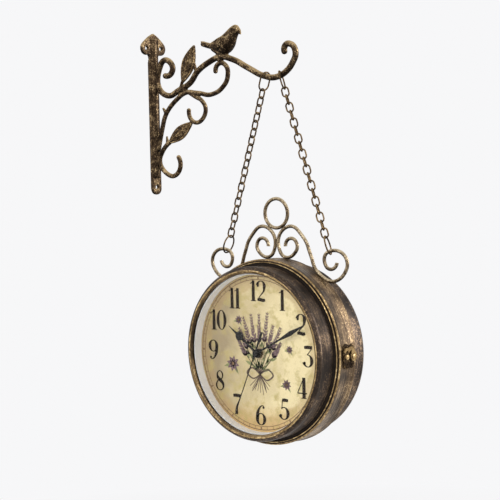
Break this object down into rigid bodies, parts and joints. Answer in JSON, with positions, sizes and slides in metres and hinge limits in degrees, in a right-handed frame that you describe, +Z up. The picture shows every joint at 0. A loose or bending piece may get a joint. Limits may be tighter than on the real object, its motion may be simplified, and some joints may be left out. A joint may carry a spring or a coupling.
{
  "type": "double-sided wall clock",
  "caption": "Round station-style clock with a dial on each side, hung on chains from a cast scroll wall bracket; hinged front, latch and turning hands.",
  "frame": {"origin": "midway between the two upper screw holes, on the wall plane", "axes": "+X out of the wall along the arm, +Z up, front dial faces -Y"},
  "size_m": [0.2992, 0.0818, 0.4769],
  "materials": {
    "bracket_metal": "antique bronze wash over dark casting",
    "chain_metal": "dark antique bronze",
    "hanger_metal": "brass-bronze",
    "case_metal": "streaked antique bronze, gold on the beads",
    "fitting_metal": "dark bronze with gold highlights",
    "clear_glass": "clear flat glass",
    "white_ring": "off-white",
    "dial_print": "aged parchment print",
    "hand_black": "black",
    "movement_plastic": "black",
    "knob_plastic": "dark grey",
    "brass": "bright brass",
    "steel": "bare steel",
    "battery_cover": "plain wrapped cell"
  },
  "bodies": {
    "bracket": {"wall_bracket": "bracket_metal"},
    "hook_links": {"left_top_link": "chain_metal", "right_top_link": "chain_metal"},
    "left_chain": {"left_chain_links": "chain_metal"},
    "left_ring_body": {"left_ring": "chain_metal"},
    "right_chain": {"right_chain_links": "chain_metal", "right_ring": "chain_metal"},
    "clock": {"rear_case": "case_metal", "rear_glass": "clear_glass", "rear_spacer_ring": "white_ring", "rear_dial": "dial_print", "rear_dial_clips": "steel", "rear_movement": "movement_plastic", "rear_shaft_washer": "brass", "rear_shaft_nut": "brass", "rear_battery": "battery_cover", "rear_battery_contacts": "steel", "hanger_left_scroll": "hanger_metal", "hanger_right_scroll": "hanger_metal", "hanger_ring": "hanger_metal", "door_stop_ring": "case_metal", "hinge_rear_leaf": "fitting_metal", "hinge_pin": "fitting_metal", "latch_base": "fitting_metal", "latch_pivot_rivet": "fitting_metal"},
    "front_door": {"front_case": "case_metal", "front_glass": "clear_glass", "front_spacer_ring": "white_ring", "front_dial": "dial_print", "front_dial_clips": "steel", "front_movement": "movement_plastic", "front_shaft_washer": "brass", "front_shaft_nut": "brass", "front_battery": "battery_cover", "front_battery_contacts": "steel", "hinge_front_leaf": "fitting_metal", "latch_keeper": "fitting_metal", "latch_peg": "fitting_metal"},
    "latch_hook_body": {"latch_hook": "fitting_metal"},
    "front_hour": {"front_hour_hand": "hand_black"},
    "front_minute": {"front_minute_hand": "hand_black"},
    "front_second": {"front_second_hand": "hand_black"},
    "front_knob": {"front_set_knob": "knob_plastic"},
    "rear_hour": {"rear_hour_hand": "hand_black"},
    "rear_minute": {"rear_minute_hand": "hand_black"},
    "rear_second": {"rear_second_hand": "hand_black"},
    "rear_knob": {"rear_set_knob": "knob_plastic"}
  },
  "joints": [
    {"name": "chains_swing", "type": "hinge", "parent": "bracket", "child": "hook_links", "pos_m": [0.19, 0, -0.04523], "axis": [1, 0, 0], "range_deg": [-20, 20]},
    {"name": "left_chain_sway", "type": "hinge", "parent": "hook_links", "child": "left_chain", "pos_m": [0.17395, 0, -0.06073], "axis": [0, 1, 0], "range_deg": [-6, 6]},
    {"name": "left_ring_turn", "type": "hinge", "parent": "left_chain", "child": "left_ring_body", "pos_m": [0.11986, 0, -0.22694], "axis": [0, 1, 0], "range_deg": [-2, 2]},
    {"name": "right_chain_sway", "type": "hinge", "parent": "hook_links", "child": "right_chain", "pos_m": [0.20605, 0, -0.06073], "axis": [0, 1, 0], "range_deg": [-6.5, 6.5]},
    {"name": "clock_nod", "type": "hinge", "parent": "left_ring_body", "child": "clock", "pos_m": [0.11506, 0, -0.24168], "axis": [1, 0, 0], "range_deg": [-18, 18]},
    {"name": "door_hinge", "type": "hinge", "parent": "clock", "child": "front_door", "pos_m": [0.0837, -0.0065, -0.35447], "axis": [0, 0, -1], "range_deg": [0, 95]},
    {"name": "latch_pivot", "type": "hinge", "parent": "clock", "child": "latch_hook_body", "pos_m": [0.2955, -0.0023, -0.35447], "axis": [-1, 0, 0], "range_deg": [-20, 64]},
    {"name": "front_hour_turn", "type": "hinge", "parent": "front_door", "child": "front_hour", "pos_m": [0.19, 0, -0.35447], "axis": [0, 1, 0], "continuous": true},
    {"name": "front_minute_turn", "type": "hinge", "parent": "front_door", "child": "front_minute", "pos_m": [0.19, 0, -0.35447], "axis": [0, 1, 0], "continuous": true},
    {"name": "front_second_turn", "type": "hinge", "parent": "front_door", "child": "front_second", "pos_m": [0.19, 0, -0.35447], "axis": [0, 1, 0], "continuous": true},
    {"name": "front_knob_turn", "type": "hinge", "parent": "front_door", "child": "front_knob", "pos_m": [0.179, 0, -0.34447], "axis": [0, 1, 0], "continuous": true},
    {"name": "rear_hour_turn", "type": "hinge", "parent": "clock", "child": "rear_hour", "pos_m": [0.19, 0, -0.35447], "axis": [0, -1, 0], "continuous": true},
    {"name": "rear_minute_turn", "type": "hinge", "parent": "clock", "child": "rear_minute", "pos_m": [0.19, 0, -0.35447], "axis": [0, -1, 0], "continuous": true},
    {"name": "rear_second_turn", "type": "hinge", "parent": "clock", "child": "rear_second", "pos_m": [0.19, 0, -0.35447], "axis": [0, -1, 0], "continuous": true},
    {"name": "rear_knob_turn", "type": "hinge", "parent": "clock", "child": "rear_knob", "pos_m": [0.201, 0, -0.34447], "axis": [0, -1, 0], "continuous": true}
  ],
  "couplings": [
    {"joint": "left_ring_turn", "follows": "left_chain_sway", "ratio": -0.2141},
    {"joint": "right_chain_sway", "follows": "left_chain_sway", "ratio": 1},
    {"joint": "front_hour_turn", "follows": "front_minute_turn", "ratio": 0.083333},
    {"joint": "front_knob_turn", "follows": "front_minute_turn", "ratio": -0.33333},
    {"joint": "rear_hour_turn", "follows": "rear_minute_turn", "ratio": 0.083333},
    {"joint": "rear_knob_turn", "follows": "rear_minute_turn", "ratio": -0.33333}
  ]
}
